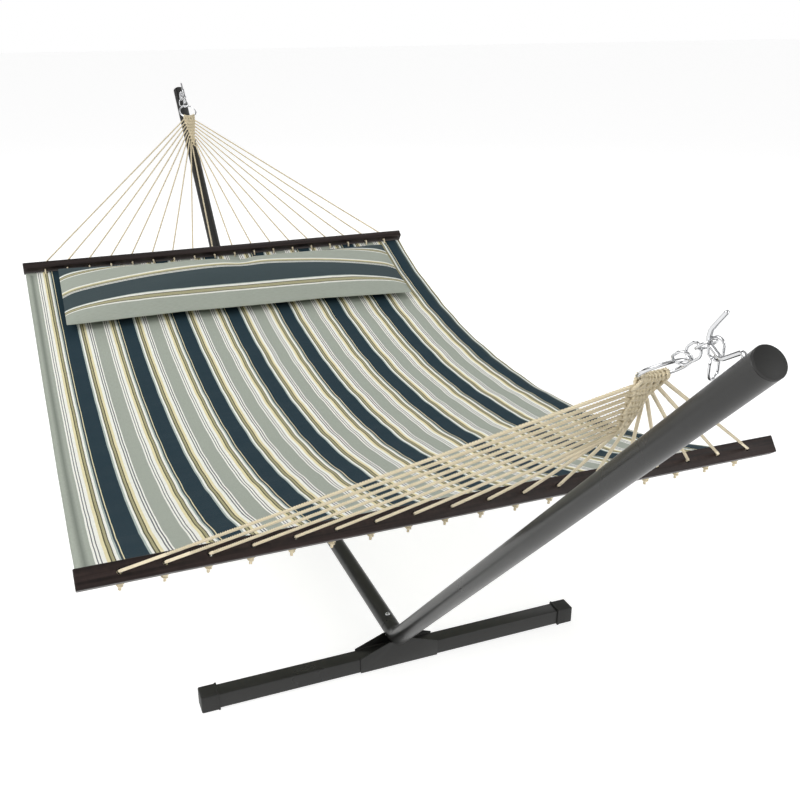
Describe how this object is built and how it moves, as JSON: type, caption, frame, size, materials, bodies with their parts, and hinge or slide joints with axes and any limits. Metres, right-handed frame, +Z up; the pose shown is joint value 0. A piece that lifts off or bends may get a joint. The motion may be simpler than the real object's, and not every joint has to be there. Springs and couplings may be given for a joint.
{
  "type": "hammock on stand",
  "caption": "Double quilted hammock with spreader bars and rope harnesses, hung by chains from hooks on a bent-tube steel stand.",
  "frame": {"origin": "on the floor under the middle of the stand", "axes": "+X along the hammock towards the foot end, +Y across it, +Z up; the pillow is at -X"},
  "size_m": [3.5288, 1.4, 1.1605],
  "materials": {
    "black_steel": "satin charcoal-black powder coat",
    "black_plastic": "matt moulded plastic",
    "chrome": "bright chrome plate",
    "dark_wood": "dark brown satin varnish",
    "rope": "cream twisted rope, three strands",
    "striped_cloth": "woven outdoor polyester with navy, sage, cream and olive stripes",
    "pillow_cloth": "woven outdoor polyester with the same stripes"
  },
  "bodies": {
    "stand": {"floor_beam": "black_steel", "foot_end_arm": "black_steel", "foot_end_arm_cap": "black_plastic", "foot_end_cross_tube": "black_steel", "foot_end_cross_tube_cap_a": "black_plastic", "foot_end_cross_tube_cap_b": "black_plastic", "foot_end_saddle_plate_outer": "black_steel", "foot_end_saddle_plate_inner": "black_steel", "foot_end_joint_screw": "chrome", "foot_end_hook": "chrome", "head_end_arm": "black_steel", "head_end_arm_cap": "black_plastic", "head_end_cross_tube": "black_steel", "head_end_cross_tube_cap_a": "black_plastic", "head_end_cross_tube_cap_b": "black_plastic", "head_end_saddle_plate_outer": "black_steel", "head_end_saddle_plate_inner": "black_steel", "head_end_joint_screw": "chrome", "head_end_hook": "chrome"},
    "hammock": {"foot_end_ring": "chrome", "foot_end_chain_link_1": "chrome", "foot_end_chain_link_2": "chrome", "foot_end_chain_link_3": "chrome", "foot_end_rope_harness": "rope", "foot_end_spreader_bar": "dark_wood", "head_end_ring": "chrome", "head_end_chain_link_1": "chrome", "head_end_chain_link_2": "chrome", "head_end_chain_link_3": "chrome", "head_end_rope_harness": "rope", "head_end_spreader_bar": "dark_wood", "bed": "striped_cloth", "pillow": "pillow_cloth"},
    "foot_end_tail_upper": {"foot_end_tail_link_upper": "chrome"},
    "foot_end_tail_lower": {"foot_end_tail_link_lower": "chrome"},
    "head_end_tail_upper": {"head_end_tail_link_upper": "chrome"},
    "head_end_tail_lower": {"head_end_tail_link_lower": "chrome"}
  },
  "joints": [
    {"name": "hammock_swing", "type": "hinge", "parent": "stand", "child": "hammock", "pos_m": [0, 0, 1.11447], "axis": [1, 0, 0], "range_deg": [-17, 17]},
    {"name": "foot_end_tail_hang", "type": "hinge", "parent": "hammock", "child": "foot_end_tail_upper", "pos_m": [1.65527, 0.0081, 1.11685], "axis": [1, 0, 0], "range_deg": [-17, 17]},
    {"name": "foot_end_tail_swing", "type": "hinge", "parent": "foot_end_tail_upper", "child": "foot_end_tail_lower", "pos_m": [1.65527, 0.0081, 1.09345], "axis": [0.9455, 0.3256, 0], "range_deg": [-20, 30]},
    {"name": "head_end_tail_hang", "type": "hinge", "parent": "hammock", "child": "head_end_tail_upper", "pos_m": [-1.65527, -0.0081, 1.11685], "axis": [1, 0, 0], "range_deg": [-17, 17]},
    {"name": "head_end_tail_swing", "type": "hinge", "parent": "head_end_tail_upper", "child": "head_end_tail_lower", "pos_m": [-1.65527, -0.0081, 1.09345], "axis": [-0.9455, -0.3256, 0], "range_deg": [-20, 30]}
  ],
  "couplings": [
    {"joint": "foot_end_tail_hang", "follows": "hammock_swing", "ratio": -1},
    {"joint": "head_end_tail_hang", "follows": "hammock_swing", "ratio": -1}
  ]
}
